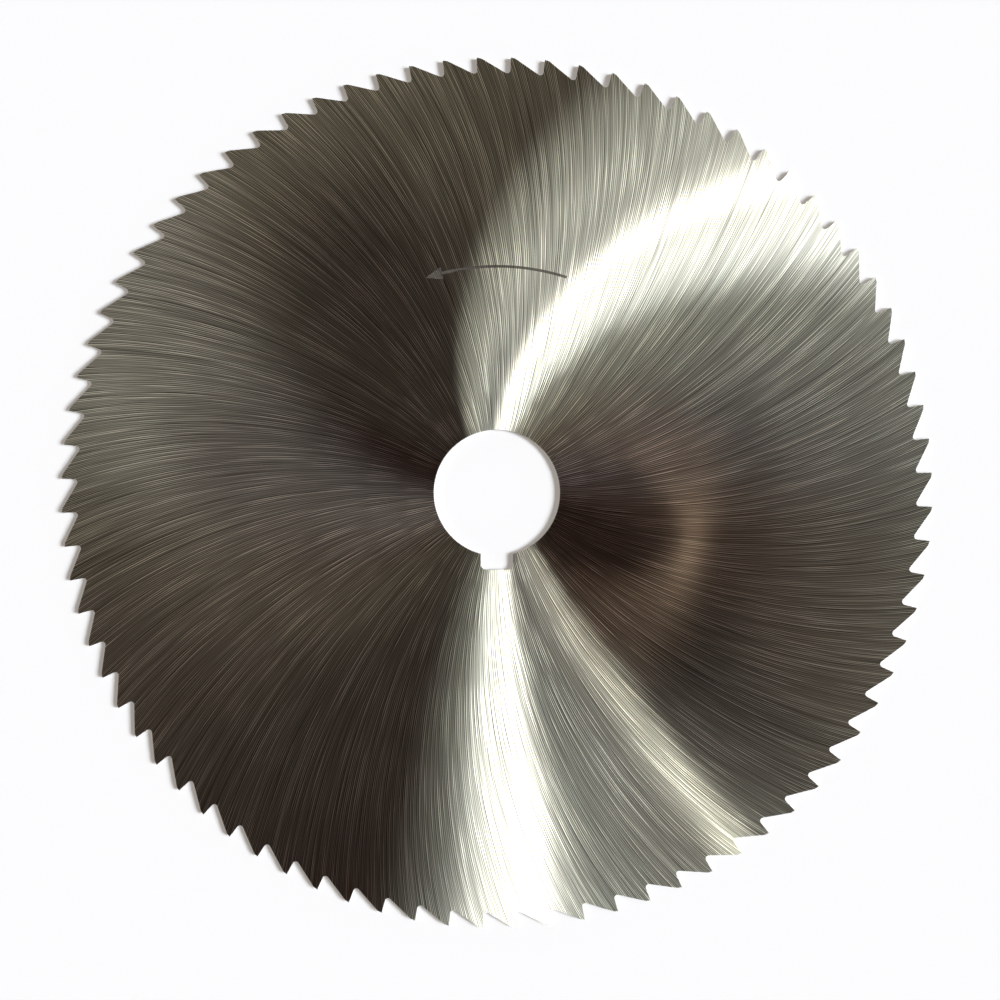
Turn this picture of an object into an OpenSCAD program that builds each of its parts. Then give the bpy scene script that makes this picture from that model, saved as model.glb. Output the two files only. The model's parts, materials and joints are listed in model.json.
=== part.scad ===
// Metal slitting saw: one thin disc of hardened high-speed steel, with ground teeth round
// its rim, a keyed bore for the arbor and sides ground hollow so that only the rim rubs.
// The disc lies flat, its axis on Z, the lower corners of its teeth on Z = 0 and its
// keyway towards -Y. Seen from above, it cuts as it turns anticlockwise.

/* [Disc] */
// Diameter over the tooth tips
outside_d = 175; // [120:1:260]
// Thickness over the tooth tips, which is the width of the cut
rim_thickness = 1; // [0.6:0.1:4]
// Depth that each side is ground hollow, from the tips in to the hub
hollow_depth = 0.05; // [0.01:0.01:0.2]
// Diameter of the flat clamping face round the bore
hub_flat_d = 44; // [40:1:80]

/* [Bore and keyway] */
// Diameter of the bore that fits the arbor
bore_d = 25.4; // [16:0.1:32]
// Width of the keyway
keyway_w = 6.5; // [4:0.1:10]
// Depth of the keyway beyond the bore wall
keyway_depth = 2.8; // [1.6:0.1:3.8]
// Radius in the two floor corners of the keyway
keyway_corner_r = 1.2; // [0.2:0.1:1.6]

/* [Teeth] */
// Number of teeth
tooth_count = 80; // [48:1:120]
// Depth of the gullets below the tips
gullet_depth = 3.2; // [2:0.1:5]
// Radius at the bottom of the gullets
gullet_r = 0.65; // [0.3:0.05:1]
// Rake angle of the cutting faces, where 0 is radial
rake_angle = 0; // [-8:1:12]
// Width of the land behind each cutting edge
land_w = 0.9; // [0.3:0.05:1.5]
// Relief angle under the land
land_relief = 12; // [5:1:20]
// Angle from the keyway's centre line on to the next cutting edge
first_edge_angle = 2.65; // [0:0.05:7.5]

/* [Hidden] */
$fn = 128;

tip_r = outside_d / 2;
bore_r = bore_d / 2;
hub_flat_r = hub_flat_d / 2;
tooth_pitch = 360 / tooth_count;
keyway_direction = -90;

// How far blanks and cutters run past the faces that they meet
overrun = 1;
// How far the gullet's arc bites into the faces on both sides, as a wheel's corner does
gullet_bite = 0.01;

// Turns a point about the disc's axis
function turned(p, angle) = [
    p.x * cos(angle) - p.y * sin(angle),
    p.x * sin(angle) + p.y * cos(angle)
];

// One tooth with its tip on the X axis, cutting towards +Y into the gullet ahead of it.
// face_down runs along the cutting face from the tip, and face_out square to it.
tip = [tip_r, 0];
face_down = [-cos(rake_angle), -sin(rake_angle)];
face_out = [-sin(rake_angle), cos(rake_angle)];

// The gullet's arc meets the cutting face and reaches gullet_depth below the tips, so its
// centre lies where a line parallel to the face crosses a circle about the disc's axis.
// face_foot is the face's nearest point to that centre.
gullet_centre_r = tip_r - gullet_depth + gullet_r;
centre_to_face = gullet_r - gullet_bite;
tip_offset = tip + centre_to_face * face_out;
along = tip_offset * face_down;
face_length = -along - sqrt(along * along - tip_offset * tip_offset + gullet_centre_r * gullet_centre_r);
gullet_centre = tip_offset + face_length * face_down;
face_foot = tip + face_length * face_down;

// The back of the next tooth runs straight from the heel of its land into the same arc.
// back_foot is the back's nearest point to the arc's centre.
heel = turned(tip - land_w * [sin(land_relief), cos(land_relief)], tooth_pitch);
to_heel = heel - gullet_centre;
back_swing = acos(centre_to_face / norm(to_heel));
back_foot = gullet_centre + centre_to_face * turned(to_heel / norm(to_heel), back_swing);

function edge_angle(i) = keyway_direction + first_edge_angle + i * tooth_pitch;

module toothed_outline() {
    difference() {
        polygon([
            for (i = [0 : tooth_count - 1])
                for (p = [tip, face_foot, back_foot, heel])
                    turned(p, edge_angle(i))
        ]);
        for (i = [0 : tooth_count - 1])
            rotate(edge_angle(i))
                translate(gullet_centre)
                    circle(r = gullet_r);
    }
}

// Half section of the blank: flat at the hub, then widening in a straight taper through
// the tips, so that the disc is rim_thickness wide there.
module hollow_ground_blank() {
    blank_r = tip_r + overrun;
    widening = hollow_depth * overrun / (tip_r - hub_flat_r);
    rotate_extrude()
        polygon([
            [bore_r, hollow_depth],
            [hub_flat_r, hollow_depth],
            [blank_r, -widening],
            [blank_r, rim_thickness + widening],
            [hub_flat_r, rim_thickness - hollow_depth],
            [bore_r, rim_thickness - hollow_depth]
        ]);
}

// Slot from the bore's centre out to its floor, along +X, with rounded floor corners
module keyway_outline() {
    floor_r = bore_r + keyway_depth;
    corner_y = keyway_w / 2 - keyway_corner_r;
    translate([0, -keyway_w / 2])
        square([floor_r - keyway_corner_r, keyway_w]);
    translate([0, -corner_y])
        square([floor_r, 2 * corner_y]);
    for (side = [-1, 1])
        translate([floor_r - keyway_corner_r, side * corner_y])
            circle(r = keyway_corner_r);
}

module saw_blade() {
    color([0.46, 0.45, 0.42])
        difference() {
            intersection() {
                hollow_ground_blank();
                translate([0, 0, -overrun])
                    linear_extrude(height = rim_thickness + 2 * overrun)
                        toothed_outline();
            }
            translate([0, 0, -overrun])
                linear_extrude(height = rim_thickness + 2 * overrun)
                    rotate(keyway_direction)
                        keyway_outline();
        }
}

saw_blade();
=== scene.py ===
import json
import math

import bpy
from mathutils import Matrix, Vector


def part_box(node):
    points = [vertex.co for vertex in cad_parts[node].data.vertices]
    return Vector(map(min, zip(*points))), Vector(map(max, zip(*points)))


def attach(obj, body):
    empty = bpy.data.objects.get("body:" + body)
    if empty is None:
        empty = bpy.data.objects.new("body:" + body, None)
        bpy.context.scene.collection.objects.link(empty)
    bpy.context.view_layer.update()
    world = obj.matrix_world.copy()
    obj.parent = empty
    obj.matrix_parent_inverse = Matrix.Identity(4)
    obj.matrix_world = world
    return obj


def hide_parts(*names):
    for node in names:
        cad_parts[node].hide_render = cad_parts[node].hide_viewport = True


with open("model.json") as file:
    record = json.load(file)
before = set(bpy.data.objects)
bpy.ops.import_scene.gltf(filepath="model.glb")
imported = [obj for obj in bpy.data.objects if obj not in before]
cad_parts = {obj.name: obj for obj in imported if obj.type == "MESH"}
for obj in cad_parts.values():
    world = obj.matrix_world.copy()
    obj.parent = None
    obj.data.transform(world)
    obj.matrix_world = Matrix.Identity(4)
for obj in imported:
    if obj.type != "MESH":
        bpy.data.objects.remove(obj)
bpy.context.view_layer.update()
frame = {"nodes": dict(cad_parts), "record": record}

# Saw blade
# The whole tool is one disc of hardened high-speed steel. Its teeth are ground through the rim,
# the bore and keyway are cut to slide over a keyed arbor, and a cup wheel dishes both sides
# so that only the rim rubs in the cut.
mm = 0.001
cad_blade = frame["nodes"]["saw_blade"]
rim_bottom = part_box("saw_blade")[0].z
rim_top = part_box("saw_blade")[1].z
tip_r = max(v.co.xy.length for v in cad_blade.data.vertices)
bore_r = next(m["dims"]["r_mm"] for m in frame["record"]["mounts"] if m["name"] == "bore") * mm
hub_flat_r = 22 * mm
hollow_depth = 0.05 * mm
keyway_half_w = 3.25 * mm
keyway_floor = bore_r + 2.8 * mm
keyway_corner_r = 1.2 * mm
keyway_direction = math.radians(-90)
tooth_count = 80
tooth_pitch = math.tau / tooth_count
first_edge = keyway_direction + math.radians(2.65)
gullet_depth = 3.2 * mm
gullet_r = 0.65 * mm
land_w = 0.9 * mm
land_relief = math.radians(12)
gullet_steps, corner_steps, bore_steps = 12, 8, 240
sharp_edge = math.radians(25)

# The rings that the sides' mesh passes through, as a radius and a count of points
side_rings = ((83.4 * mm, 480), (64 * mm, 320), (42 * mm, 240), (hub_flat_r, 240))


def turned(point, angle):
    return Matrix.Rotation(angle, 2) @ point


def arc(centre, radius, start, end, steps):
    angles = [start + (end - start) * i / steps for i in range(steps + 1)]
    return [centre + radius * Vector((math.cos(a), math.sin(a))) for a in angles]


# One tooth points along +X and cuts towards +Y. Its radial face runs down into the gullet's arc,
# and the next tooth's back leaves that arc and climbs straight to the heel of its land.
tip = Vector((tip_r, 0))
gullet_centre_r = tip_r - gullet_depth + gullet_r
gullet_centre = Vector((math.sqrt(gullet_centre_r**2 - gullet_r**2), gullet_r))
heel = tip - land_w * Vector((math.sin(land_relief), math.cos(land_relief)))
to_heel = turned(heel, tooth_pitch) - gullet_centre
back_foot_angle = math.atan2(to_heel.y, to_heel.x) + math.acos(gullet_r / to_heel.length)
gullet = arc(gullet_centre, gullet_r, math.radians(270), back_foot_angle, gullet_steps)

# The keyway's outline from the bore's wall round its floor, along +X
mouth = math.asin(keyway_half_w / bore_r)
corner_x = keyway_floor - keyway_corner_r
corner_y = keyway_half_w - keyway_corner_r
quarter = math.radians(90)
keyway = arc(Vector((corner_x, -corner_y)), keyway_corner_r, -quarter, 0, corner_steps)
keyway += arc(Vector((corner_x, corner_y)), keyway_corner_r, 0, quarter, corner_steps)
bore = keyway + arc(Vector((0, 0)), bore_r, mouth, math.tau - mouth, bore_steps)
bore = [turned(p, keyway_direction) for p in bore]

blade_points = []
blade_faces = []
blade_finishes = []
GROUND_SIDE, TOOTH_FLANK = 0, 1


def side_z(radius, top):
    share = min(1, (tip_r - radius) / (tip_r - hub_flat_r))
    return rim_top - hollow_depth * share if top else rim_bottom + hollow_depth * share


def add_loop(points, top):
    first = len(blade_points)
    blade_points.extend((p.x, p.y, side_z(p.length, top)) for p in points)
    return list(range(first, len(blade_points)))


def add_face(corners, finish, flipped=False):
    blade_faces.append(corners[::-1] if flipped else corners)
    blade_finishes.append(finish)


def heading(i):
    x, y, _ = blade_points[i]
    return (math.atan2(y, x) - keyway_direction) % math.tau


def fill_between(outer, inner, flipped):
    """Triangles between two loops round the axis, taken in turn by their headings."""
    outer = sorted(outer, key=heading)
    inner = sorted(inner, key=heading)
    i = j = 0
    while i < len(outer) or j < len(inner):
        a, b = outer[i % len(outer)], inner[j % len(inner)]
        next_a, next_b = outer[(i + 1) % len(outer)], inner[(j + 1) % len(inner)]
        ahead_a = heading(next_a) if i + 1 < len(outer) else math.tau + heading(next_a)
        ahead_b = heading(next_b) if j + 1 < len(inner) else math.tau + heading(next_b)
        if j == len(inner) or (i < len(outer) and ahead_a <= ahead_b):
            add_face([a, next_a, b], GROUND_SIDE, flipped)
            i += 1
        else:
            add_face([a, next_b, b], GROUND_SIDE, flipped)
            j += 1


def ring(radius, count):
    return arc(Vector((0, 0)), radius, 0, math.tau * (1 - 1 / count), count - 1)


def add_side(top):
    """One ground side, as the loops that its walls hang from: the toothed outline and the bore."""
    edges = [first_edge + k * tooth_pitch for k in range(tooth_count)]
    gullets = [add_loop([turned(p, a) for p in gullet], top) for a in edges]
    heels = add_loop([turned(heel, a) for a in edges], top)
    tips = add_loop([turned(tip, a) for a in edges], top)
    outline = []
    for k in range(tooth_count):
        back_foot = gullets[k - 1][-1]
        add_face([back_foot, gullets[k][0], tips[k], heels[k]], GROUND_SIDE, not top)
        outline += [heels[k], tips[k]] + gullets[k]
    rings = [add_loop(ring(radius, count), top) for radius, count in side_rings]
    bore_edge = add_loop(bore, top)
    gullet_edge = [i for loop in gullets for i in loop]
    loops = [gullet_edge] + rings + [bore_edge]
    for outer, inner in zip(loops, loops[1:]):
        fill_between(outer, inner, not top)
    return outline, bore_edge


top_outline, top_bore = add_side(True)
bottom_outline, bottom_bore = add_side(False)
for low, high, flipped in ((bottom_outline, top_outline, False), (bottom_bore, top_bore, True)):
    for i in range(len(low)):
        j = (i + 1) % len(low)
        add_face([low[i], low[j], high[j], high[i]], TOOTH_FLANK, flipped)

blade_mesh = bpy.data.meshes.new("ground_blade")
blade_mesh.from_pydata(blade_points, [], blade_faces)
blade_mesh.polygons.foreach_set("material_index", blade_finishes)
blade_mesh.shade_smooth()
blade_mesh.set_sharp_from_angle(angle=sharp_edge)
blade = bpy.data.objects.new("ground_blade", blade_mesh)
bpy.context.scene.collection.objects.link(blade)

# Grinding lines on the blade's sides
# A cup wheel crosses the turning disc from rim to hub, so each line is an arc of the wheel's rim
# that passes close by the disc's centre. The finish shines across those lines.

# These sizes are in millimetres, and scratches are counted by the radian.
wheel_r = 124
wheel_miss = 1.07
groove_w = 0.18
groove_waver = 10
scratch_reach = 38
scratch_count = 210
scratch_depth = 1.8

# How fast and how far the grooves sway aside, in grooves, and how far apart their noise lies
sway_pace, sway_width = 0.25, 1.2
noise_gap = 7.31

# How far the slopes tilt the finish, across the lines and along them, and which way the grooves lean
tilt_across, tilt_along = 0.3, 0.008
groove_lean = -0.09
warm_steel = (0.372, 0.351, 0.305, 1)
cool_steel = (0.348, 0.355, 0.325, 1)
# The lines' colour brightness is painted highlight and shade: one groove slope lighter, the next darker
dull_shade, bright_shade, shade_range = 0.27, 2.4, 10


class Nodes:
    """A short way to add and join shader nodes in one tree."""

    def __init__(self, tree):
        self.tree = tree

    def add(self, kind, *inputs, **settings):
        node = self.tree.nodes.new(kind)
        for name, value in settings.items():
            setattr(node, name, value)
        for socket, value in enumerate(inputs):
            self.feed(node.inputs[socket], value)
        return node

    def feed(self, socket, value):
        if isinstance(value, bpy.types.NodeSocket):
            self.tree.links.new(value, socket)
        elif value is not None:
            socket.default_value = value

    def math(self, operation, *values):
        return self.add("ShaderNodeMath", *values, operation=operation).outputs[0]

    def vector(self, operation, *values):
        return self.add("ShaderNodeVectorMath", *values, operation=operation).outputs["Vector"]

    def scaled(self, vector, factor):
        node = self.add("ShaderNodeVectorMath", vector, operation="SCALE")
        self.feed(node.inputs["Scale"], factor)
        return node.outputs["Vector"]


grinding = bpy.data.node_groups.new("grinding_lines", "ShaderNodeTree")
for name in ("Along", "Normal", "GrainAndShade"):
    grinding.interface.new_socket(name=name, in_out="OUTPUT", socket_type="NodeSocketVector")
grind = Nodes(grinding)
place = grind.add("ShaderNodeTexCoord").outputs["Object"]
flat = grind.vector("MULTIPLY", place, (1 / mm, 1 / mm, 0))
radius = grind.add("ShaderNodeVectorMath", flat, operation="LENGTH").outputs["Value"]
outward = grind.vector("NORMALIZE", flat)
around = grind.vector("CROSS_PRODUCT", (0, 0, 1), outward)

# The lines lean this much from the radius, as sine and cosine
bend = grind.math("DIVIDE", radius, 2 * wheel_r)
miss = grind.math("DIVIDE", wheel_miss, radius)
lean_sin = grind.math("SUBTRACT", bend, miss)
lean_cos = grind.math("SQRT", grind.math("SUBTRACT", 1, grind.math("MULTIPLY", lean_sin, lean_sin)))
along = grind.vector("ADD", grind.scaled(outward, lean_cos), grind.scaled(around, lean_sin))
across = grind.vector("SUBTRACT", grind.scaled(around, lean_cos), grind.scaled(outward, lean_sin))

# Every point of one line has the same bearing, which is where the wheel stood when it cut that line
turn_sin = grind.math("ADD", bend, miss)
turn_cos = grind.math("SQRT", grind.math("SUBTRACT", 1, grind.math("MULTIPLY", turn_sin, turn_sin)))
bearing = grind.vector("SUBTRACT", grind.scaled(outward, turn_cos), grind.scaled(around, turn_sin))
bearing_parts = grind.add("ShaderNodeSeparateXYZ", bearing).outputs
turn = grind.math("ARCTAN2", bearing_parts[1], bearing_parts[0])


def white_noise(x, y, z):
    spot = grind.add("ShaderNodeCombineXYZ", x, y, z).outputs[0]
    return grind.add("ShaderNodeTexWhiteNoise", spot, noise_dimensions="3D").outputs


def groove_slopes(octave):
    """The two slopes of one groove after another, whose depth wavers along the groove."""
    per_radian = grind.math("DIVIDE", grind.math("POWER", 2, grind.math("DIVIDE", octave, 2)), groove_w)
    count = grind.math("MULTIPLY", turn, per_radian)
    sway_place = grind.math("MULTIPLY_ADD", count, sway_pace, octave)
    sway = grind.add("ShaderNodeTexNoise", None, sway_place, noise_dimensions="1D").outputs[0]
    lane = grind.math("FLOOR", grind.math("MULTIPLY_ADD", sway, sway_width, count))
    slope = grind.math("SUBTRACT", grind.math("FLOORED_MODULO", lane, 2), 0.5)
    groove = grind.math("FLOOR", grind.math("DIVIDE", lane, 2))
    cut = white_noise(groove, octave, groove_w)["Color"]
    own_noise = grind.math("MULTIPLY", groove, noise_gap)
    spot = grind.add("ShaderNodeCombineXYZ", own_noise, grind.math("DIVIDE", radius, groove_waver), octave)
    waver = grind.add("ShaderNodeTexNoise", spot.outputs[0])
    waver.inputs["Scale"].default_value = 1
    waver.inputs["Detail"].default_value = 0
    depth = grind.add("ShaderNodeMapRange", waver.outputs[0], 0.3, 0.7, 0.3, 1.4).outputs[0]
    cut = grind.vector("MULTIPLY_ADD", cut, (0.75, 0.75, 0.75), (0.25, 0.25, 0.25))
    # The third part of each cut is painted highlight and shade: it makes each slope lighter or darker.
    return grind.scaled(cut, grind.math("MULTIPLY", slope, depth))


# The grooves stay about as wide at every radius: each set fades over to one with more further out.
spread = grind.math("MULTIPLY", grind.math("LOGARITHM", radius, 2), 2)
octave = grind.math("FLOOR", spread)
past = grind.math("FRACT", spread)
share = grind.add("ShaderNodeMapRange", past, 0.15, 0.85, 0, 1, interpolation_type="SMOOTHSTEP")
fine = grind.add("ShaderNodeMix", data_type="VECTOR")
grind.feed(fine.inputs["Factor"], share.outputs[0])
grind.feed(fine.inputs[4], groove_slopes(octave))
grind.feed(fine.inputs[5], groove_slopes(grind.math("ADD", octave, 1)))

# A few deeper scratches run far across the grooves, and fade at their ends.
lane = grind.math("FLOOR", grind.math("MULTIPLY", turn, scratch_count))
reach = grind.math("ADD", grind.math("DIVIDE", radius, scratch_reach), white_noise(lane, 0, 1)["Value"])
cut = white_noise(lane, grind.math("FLOOR", reach), 2)["Color"]
from_middle = grind.math("ABSOLUTE", grind.math("SUBTRACT", grind.math("FRACT", reach), 0.5))
depth = grind.add("ShaderNodeMapRange", from_middle, 0.15, 0.5, 1, 0, interpolation_type="SMOOTHSTEP")
scratch = grind.scaled(grind.vector("SUBTRACT", cut, (0.5, 0.5, 0.5)), depth.outputs[0])
deep = grind.vector("MULTIPLY", scratch, grind.vector("MULTIPLY", scratch, scratch))
groove_tilt_and_shade = grind.vector("ADD", fine.outputs[1], grind.scaled(deep, scratch_depth))
parts = grind.add("ShaderNodeSeparateXYZ", groove_tilt_and_shade)
tilt = grind.vector(
    "ADD",
    grind.scaled(across, grind.math("MULTIPLY_ADD", parts.outputs[0], tilt_across, groove_lean)),
    grind.scaled(along, grind.math("MULTIPLY", parts.outputs[1], tilt_along)),
)


def to_world(vector):
    turned_to = {"convert_from": "OBJECT", "convert_to": "WORLD"}
    return grind.add("ShaderNodeVectorTransform", vector, **turned_to).outputs[0]


surface = grind.add("ShaderNodeNewGeometry").outputs["Normal"]
group_out = grind.add("NodeGroupOutput")
grind.feed(group_out.inputs["Along"], to_world(along))
tilted = grind.vector("NORMALIZE", grind.vector("ADD", surface, to_world(tilt)))
grind.feed(group_out.inputs["Normal"], tilted)
# Its third part is the painted highlight and shade of the groove slopes, with the deep scratches' random
# tone.
grind.feed(group_out.inputs["GrainAndShade"], grind.vector("ADD", groove_tilt_and_shade, (0.5, 0.5, 0.5)))


def new_material(name, shader_kind="ShaderNodeBsdfPrincipled"):
    material = bpy.data.materials.new(name)
    material.use_nodes = True
    material.node_tree.nodes.clear()
    nodes = Nodes(material.node_tree)
    shader = nodes.add(shader_kind)
    output = nodes.add("ShaderNodeOutputMaterial")
    nodes.feed(output.inputs["Surface"], shader.outputs[0])
    return material, nodes, shader


# The gloss is nearly a mirror along the lines and wide across them, which gives the long streaks.
side_steel, side, shader = new_material("ground_side_steel", "ShaderNodeBsdfAnisotropic")
lines = side.add("ShaderNodeGroup", node_tree=grinding)
grain_and_shade = side.add("ShaderNodeSeparateXYZ", lines.outputs["GrainAndShade"])
# Painted highlight and shade: each groove's one slope is lighter and the next darker in the colour.
painted_line_light = side.math("POWER", shade_range, grain_and_shade.outputs[2])
shade = side.math("MINIMUM", side.math("MULTIPLY", dull_shade, painted_line_light), bright_shade)
tint = side.add("ShaderNodeMix", data_type="RGBA")
warmth = side.add("ShaderNodeMapRange", grain_and_shade.outputs[0], 0, 1, 0, 1).outputs[0]
side.feed(tint.inputs["Factor"], warmth)
side.feed(tint.inputs[6], warm_steel)
side.feed(tint.inputs[7], cool_steel)
side.feed(shader.inputs["Color"], side.scaled(tint.outputs[2], shade))
gloss = side.add("ShaderNodeMapRange", grain_and_shade.outputs[1], 0, 1, 0.28, 0.285).outputs[0]
side.feed(shader.inputs["Roughness"], gloss)
side.feed(shader.inputs["Normal"], lines.outputs["Normal"])
side.feed(shader.inputs["Tangent"], lines.outputs["Along"])
shader.inputs["Anisotropy"].default_value = 0.9

# Tooth flanks, gullets and bore wall
# These walls are the same hard steel, cut square to the sides. A narrow wheel passes through the teeth
# along the axis, and leaves short lines across the rim.
flank_steel, flank, shader = new_material("tooth_flank_steel")
face = flank.add("ShaderNodeNewGeometry").outputs["Normal"]
spot = flank.vector("MULTIPLY", flank.add("ShaderNodeTexCoord").outputs["Object"], (9000, 9000, 600))
noise = flank.add("ShaderNodeTexNoise", spot)
noise.inputs["Scale"].default_value = 1
shade = flank.add("ShaderNodeMapRange", noise.outputs[0], 0.3, 0.7, 0.24, 0.4).outputs[0]
flank.feed(shader.inputs["Base Color"], shade)
gloss = flank.add("ShaderNodeMapRange", noise.outputs[0], 0.3, 0.7, 0.28, 0.42).outputs[0]
flank.feed(shader.inputs["Roughness"], gloss)
flank.feed(shader.inputs["Tangent"], flank.vector("CROSS_PRODUCT", face, (0, 0, 1)))
shader.inputs["Metallic"].default_value = 1
shader.inputs["Anisotropic"].default_value = 0.8

blade_mesh.materials.append(side_steel)
blade_mesh.materials.append(flank_steel)
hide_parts("saw_blade")
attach(blade, "root")

# Etched arrow
# A dark mark, burnt into the upper side with a mask and acid, that shows which way the blade turns.
# It is a plain arc with a head, and the grinding lines still show through it, partly as painted shade.
arrow_r = 45.5 * mm
arrow_tail = math.radians(72)
arrow_neck = math.radians(104)
arrow_tip = math.radians(108.5)
arrow_stroke = 0.55 * mm
arrow_head_w = 2.6 * mm
etch_film = 0.004 * mm
dark_etch = (0.045, 0.04, 0.035, 1)
pale_etch = (0.14, 0.13, 0.115, 1)
arrow_points = []
arrow_faces = []


def arrow_point(radius, angle):
    """A pair of points, one just under the ground side and one just over it."""
    x, y = radius * math.cos(angle), radius * math.sin(angle)
    first = len(arrow_points)
    z = side_z(radius, True)
    arrow_points.extend([(x, y, z - etch_film), (x, y, z + etch_film)])
    return first


shaft_steps = 24
shaft_step = (arrow_neck - arrow_tail) / shaft_steps
shaft_angles = [arrow_tail + shaft_step * i for i in range(shaft_steps + 1)]
shaft_outer = [arrow_point(arrow_r + arrow_stroke / 2, a) for a in shaft_angles]
shaft_inner = [arrow_point(arrow_r - arrow_stroke / 2, a) for a in shaft_angles]
head = [
    arrow_point(arrow_r + arrow_head_w / 2, arrow_neck),
    arrow_point(arrow_r, arrow_tip),
    arrow_point(arrow_r - arrow_head_w / 2, arrow_neck),
]
plates = [
    [shaft_outer[i], shaft_outer[i + 1], shaft_inner[i + 1], shaft_inner[i]] for i in range(shaft_steps)
]
plates.append([shaft_outer[-1]] + head + [shaft_inner[-1]])
for plate in plates:
    arrow_faces.append(plate[::-1])
    arrow_faces.append([i + 1 for i in plate])
rim = shaft_outer + head + shaft_inner[::-1]
for i, j in zip(rim, rim[1:] + rim[:1]):
    arrow_faces.append([i, j, j + 1, i + 1])
arrow_mesh = bpy.data.meshes.new("etched_arrow")
arrow_mesh.from_pydata(arrow_points, [], arrow_faces)
arrow = bpy.data.objects.new("etched_arrow", arrow_mesh)
bpy.context.scene.collection.objects.link(arrow)

etched_steel, etched, shader = new_material("etched_steel")
lines = etched.add("ShaderNodeGroup", node_tree=grinding)
grain_and_shade = etched.add("ShaderNodeSeparateXYZ", lines.outputs["GrainAndShade"])
# The etch is paler or darker with the painted highlight and shade of the groove slopes under it.
etch_slope_shade = etched.add("ShaderNodeMapRange", grain_and_shade.outputs[2], 0.2, 0.8, 0, 1).outputs[0]
etch = etched.add("ShaderNodeMix", data_type="RGBA")
etched.feed(etch.inputs["Factor"], etch_slope_shade)
etched.feed(etch.inputs[6], dark_etch)
etched.feed(etch.inputs[7], pale_etch)
etched.feed(shader.inputs["Base Color"], etch.outputs[2])
gloss = etched.add("ShaderNodeMapRange", grain_and_shade.outputs[1], 0.3, 0.7, 0.45, 0.65).outputs[0]
etched.feed(shader.inputs["Roughness"], gloss)
etched.feed(shader.inputs["Normal"], lines.outputs["Normal"])
shader.inputs["Metallic"].default_value = 0.7
arrow_mesh.materials.append(etched_steel)
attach(arrow, "root")

# Floor
# A plain sheet of white paper that the blade lies on. To the camera almost a third of its white
# is its own, so that the blade's shadow stays light.
floor_half = 0.5
floor_white = (0.8, 0.84, 0.895, 1)
floor_glow = 0.3
glow_white = (1, 0.94, 0.84, 1)
floor_mesh = bpy.data.meshes.new("floor")
floor_corners = [(-floor_half, -floor_half, 0), (floor_half, -floor_half, 0)]
floor_corners += [(floor_half, floor_half, 0), (-floor_half, floor_half, 0)]
floor_mesh.from_pydata(floor_corners, [], [(0, 1, 2, 3)])
floor = bpy.data.objects.new("floor", floor_mesh)
bpy.context.scene.collection.objects.link(floor)
floor_paper, paper, shader = new_material("floor_paper", "ShaderNodeMixShader")
ray = paper.add("ShaderNodeLightPath").outputs
mirrored = paper.math("MAXIMUM", ray["Is Glossy Ray"], ray["Is Transmission Ray"])
seen = paper.math("MAXIMUM", ray["Is Camera Ray"], mirrored)
paper.feed(shader.inputs[0], paper.math("MULTIPLY", seen, floor_glow))
paper.feed(shader.inputs[1], paper.add("ShaderNodeBsdfDiffuse", floor_white).outputs[0])
paper.feed(shader.inputs[2], paper.add("ShaderNodeEmission", glow_white, 1.0).outputs[0])
floor_mesh.materials.append(floor_paper)

# Light
# A tall soft window light from the right does most of the work. A slim one stands beside it,
# and wide dim ones behind and in front lift the sides of the disc that face away from it.
lamp_distance = 1.5


def soft_lamp(name, azimuth, elevation, width, height, lean, brightness, colour):
    """A lamp that fades towards its edges. All angles are in degrees, as the blade sees the lamp."""
    data = bpy.data.lights.new(name, "AREA")
    data.shape = "RECTANGLE"
    data.size = 2 * lamp_distance * math.tan(math.radians(width / 2))
    data.size_y = 2 * lamp_distance * math.tan(math.radians(height / 2))
    data.energy = brightness * 4 * data.size * data.size_y
    data.color = colour
    data.use_nodes = True
    glow = Nodes(data.node_tree)
    place = glow.add("ShaderNodeNewGeometry").outputs["Parametric"]
    spot = glow.vector("SUBTRACT", place, (0.5, 0.5, 0))
    to_edge = glow.add("ShaderNodeSeparateXYZ", glow.vector("ABSOLUTE", spot)).outputs
    fades = []
    for edge in (to_edge["X"], to_edge["Y"]):
        fade = glow.add("ShaderNodeMapRange", edge, 0.1, 0.5, 1, 0, interpolation_type="SMOOTHSTEP")
        fades.append(fade.outputs[0])
    strength = data.node_tree.nodes["Emission"].inputs["Strength"]
    glow.feed(strength, glow.math("MULTIPLY", *fades))
    lamp = bpy.data.objects.new(name, data)
    turn, rise = math.radians(azimuth), math.radians(elevation)
    level = math.cos(rise)
    away = Vector((level * math.cos(turn), level * math.sin(turn), math.sin(rise)))
    lamp.location = lamp_distance * away
    aim = away.to_track_quat("Z", "Y").to_matrix()
    lamp.rotation_euler = (aim @ Matrix.Rotation(math.radians(lean), 3, "Z")).to_euler()
    lamp.visible_camera = False
    lamp.visible_diffuse = False
    bpy.context.scene.collection.objects.link(lamp)


soft_lamp("key_window", 0.8, 24.2, 8, 12.4, 0, 86, (1, 1, 1))
soft_lamp("key_curtain", -0.8, 21, 20, 12.2, 0, 60, (1, 0.985, 0.93))
soft_lamp("tall_window", 353.3, 34.6, 14.5, 36, 0, 18.1, (0.97, 1, 0.99))
soft_lamp("wide_window", 4.9, 18, 48, 20.6, 0, 13.5, (0.94, 1, 0.98))
soft_lamp("slim_window", 24.1, 40.6, 4.6, 37.6, 23.4, 18.1, (0.99, 1, 0.87))
soft_lamp("high_window", 17.9, 45.7, 15, 23.2, 0, 3.1, (1, 0.97, 0.93))
soft_lamp("back_panel", 107, 16.6, 58.2, 41, 0, 1.64, (0.93, 0.91, 1))
soft_lamp("front_panel", 286.9, 14.2, 59, 24, 0, 1.37, (1, 0.67, 0.54))
soft_lamp("overhead_panel", 136.3, 64.9, 43, 17.4, 0, 1.05, (1, 0.91, 0.68))
soft_lamp("far_panel", 185.1, 69.3, 52, 8.2, 0, 0.95, (0.98, 1, 0.83))
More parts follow.
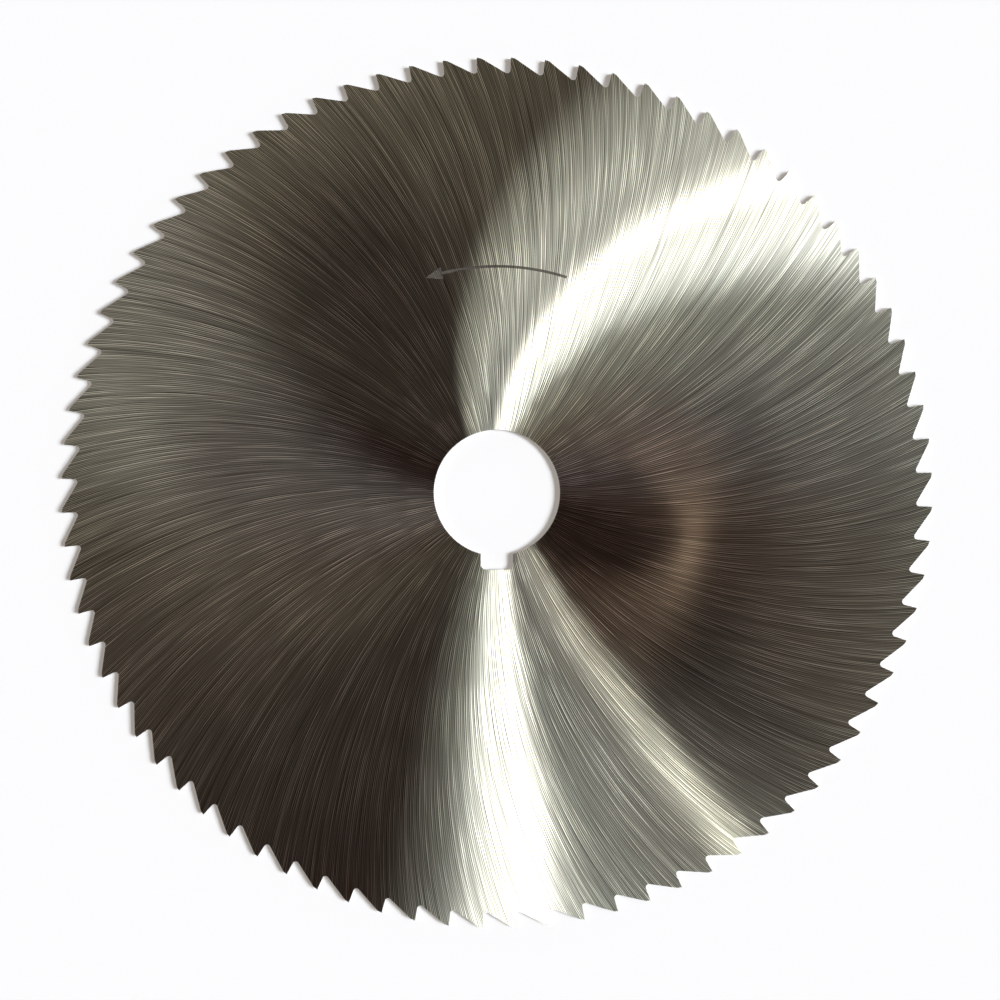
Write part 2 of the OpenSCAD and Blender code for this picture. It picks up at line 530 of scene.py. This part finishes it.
soft_lamp("right_panel", 348.2, 51.4, 24.9, 59.6, 0, 2.24, (0.95, 1, 0.89))
soft_lamp("top_strip", -8.5, 79, 15.8, 0.8, 0, 20.1, (1, 0.72, 0.52))

# The window lamps show in the steel only. This lamp stands for their light on the paper,
# so it draws the shadow, and it shows in no reflection.
shadow_lamp_rise = math.radians(36)
shadow_lamp_turn = math.radians(-3)
shadow_lamp_data = bpy.data.lights.new("shadow_lamp", "SUN")
shadow_lamp_data.energy = 6
shadow_lamp_data.angle = math.radians(24)
shadow_lamp = bpy.data.objects.new("shadow_lamp", shadow_lamp_data)
shadow_lamp.rotation_euler = (0, math.radians(90) - shadow_lamp_rise, shadow_lamp_turn)
shadow_lamp.visible_glossy = False
bpy.context.scene.collection.objects.link(shadow_lamp)

# The room is white at the level of the floor and dark overhead.
low_white = (1, 1, 1, 1)
high_dark = (0.046, 0.014, 0.008, 1)
world = bpy.data.worlds.new("dim_room")
world.use_nodes = True
bpy.context.scene.world = world
room = Nodes(world.node_tree)
backdrop = world.node_tree.nodes["Background"]
direction = room.add("ShaderNodeTexCoord").outputs["Generated"]
height = room.add("ShaderNodeSeparateXYZ", direction).outputs[2]
room_colour = room.add("ShaderNodeMix", data_type="RGBA")
overhead = room.add("ShaderNodeMapRange", height, 0.15, 0.29, 0, 1).outputs[0]
room.feed(room_colour.inputs["Factor"], overhead)
room.feed(room_colour.inputs[6], low_white)
room.feed(room_colour.inputs[7], high_dark)
room.feed(backdrop.inputs["Color"], room_colour.outputs[2])

# Camera
# It looks straight down on the blade from close by, a little off its centre.
camera_height = 0.236
frame_width = 0.2009
sensor_width = 36
camera_data = bpy.data.cameras.new("camera")
camera_data.sensor_width = sensor_width
camera_data.lens = sensor_width * (camera_height - rim_top) / frame_width
camera_data.clip_start = 0.01
camera = bpy.data.objects.new("camera", camera_data)
camera.location = (0.63 * mm, -1.46 * mm, camera_height)
bpy.context.scene.collection.objects.link(camera)
bpy.context.scene.camera = camera
bpy.context.scene.view_settings.view_transform = "Standard"
